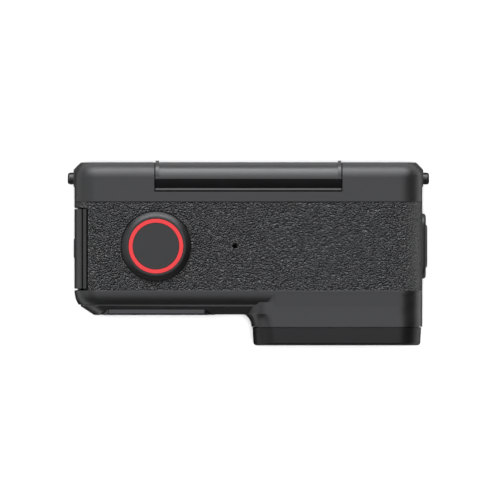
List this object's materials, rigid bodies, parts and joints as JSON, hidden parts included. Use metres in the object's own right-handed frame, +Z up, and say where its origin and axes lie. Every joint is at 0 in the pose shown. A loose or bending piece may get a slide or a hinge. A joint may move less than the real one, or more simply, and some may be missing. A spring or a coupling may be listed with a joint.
{
  "type": "action camera",
  "caption": "Compact black action camera with a square twist-off lens guard, flip-up rear screen, round top button with a red ring, side button and hinged battery door.",
  "frame": {"origin": "under the middle of the camera, on the surface it stands on", "axes": "+X along the width, towards the power button; the lens looks along -Y and the screen faces +Y; +Z up"},
  "size_m": [0.0748, 0.038, 0.0522],
  "materials": {
    "grained_plastic": "leather grain, matt black",
    "front_plastic": "satin black",
    "screen_plastic": "satin black",
    "button_plastic": "satin black",
    "red_plastic": "bright red, semi-gloss",
    "gloss_glass": "black backed glass",
    "lens_glass": "coated lens glass",
    "lens_plastic": "matt black",
    "inner_plastic": "moulded, dark grey",
    "circuit_board": "green solder mask",
    "rubber": "matt black",
    "aluminium": "bead blasted",
    "steel": "plain"
  },
  "bodies": {
    "camera": {"base_plate": "aluminium", "base_screw_1": "steel", "base_screw_2": "steel", "base_screw_3": "steel", "base_screw_4": "steel", "battery": "inner_plastic", "card_slot": "steel", "door_hinge_pin": "steel", "front_case": "front_plastic", "front_display": "inner_plastic", "front_display_glass": "gloss_glass", "front_panel": "front_plastic", "heat_spreader": "aluminium", "hinge_pin_left": "steel", "hinge_pin_right": "steel", "image_sensor": "inner_plastic", "lens_barrel": "lens_plastic", "lens_front_element": "lens_glass", "lens_rear_group": "lens_glass", "lens_retaining_ring": "lens_plastic", "main_board": "circuit_board", "main_case": "grained_plastic", "memory_card": "inner_plastic", "mount_magnet_left": "steel", "mount_magnet_right": "steel", "port_board": "circuit_board", "power_bezel": "button_plastic", "power_switch": "inner_plastic", "processor_shield": "aluminium", "rear_screw_1": "steel", "rear_screw_2": "steel", "rear_screw_3": "steel", "rear_screw_4": "steel", "sensor_board": "circuit_board", "shutter_switch": "inner_plastic", "speaker_driver": "inner_plastic", "speaker_mesh": "steel", "top_mic_mesh": "steel", "usb_port": "steel"},
    "screen": {"screen_frame": "screen_plastic", "hinge_barrel": "screen_plastic", "screen_glass": "gloss_glass", "screen_lcd": "inner_plastic", "screen_back_cover": "aluminium", "screen_magnet": "steel"},
    "shutter": {"shutter_cap": "button_plastic", "shutter_ring": "red_plastic"},
    "power": {"power_cap": "button_plastic"},
    "door": {"side_door": "front_plastic", "door_gasket": "rubber", "door_inner_plate": "aluminium"},
    "latch": {"door_latch": "rubber"},
    "guard": {"lens_guard_frame": "front_plastic", "lens_guard_glass": "lens_glass", "lens_guard_seal": "rubber"}
  },
  "joints": [
    {"name": "screen_flip", "type": "hinge", "parent": "camera", "child": "screen", "pos_m": [0, 0.0152, 0.048], "axis": [1, 0, 0], "range_deg": [0, 180]},
    {"name": "shutter_press", "type": "slide", "parent": "camera", "child": "shutter", "axis": [0, 0, -1], "range_m": [0, 0.0005], "stiffness_N_per_m": 800, "springref_m": -0.0005},
    {"name": "power_press", "type": "slide", "parent": "camera", "child": "power", "axis": [-1, 0, 0], "range_m": [0, 0.0004], "stiffness_N_per_m": 800, "springref_m": -0.0005},
    {"name": "door_swing", "type": "hinge", "parent": "camera", "child": "door", "pos_m": [-0.03475, 0, 0.0036], "axis": [0, -1, 0], "range_deg": [0, 90]},
    {"name": "latch_slide", "type": "slide", "parent": "door", "child": "latch", "axis": [0, 0, -1], "range_m": [0, 0.003]},
    {"name": "lens_guard_twist", "type": "hinge", "parent": "camera", "child": "guard", "pos_m": [0.01815, -0.0153, 0.0337], "axis": [0, -1, 0], "range_deg": [0, 45]}
  ]
}
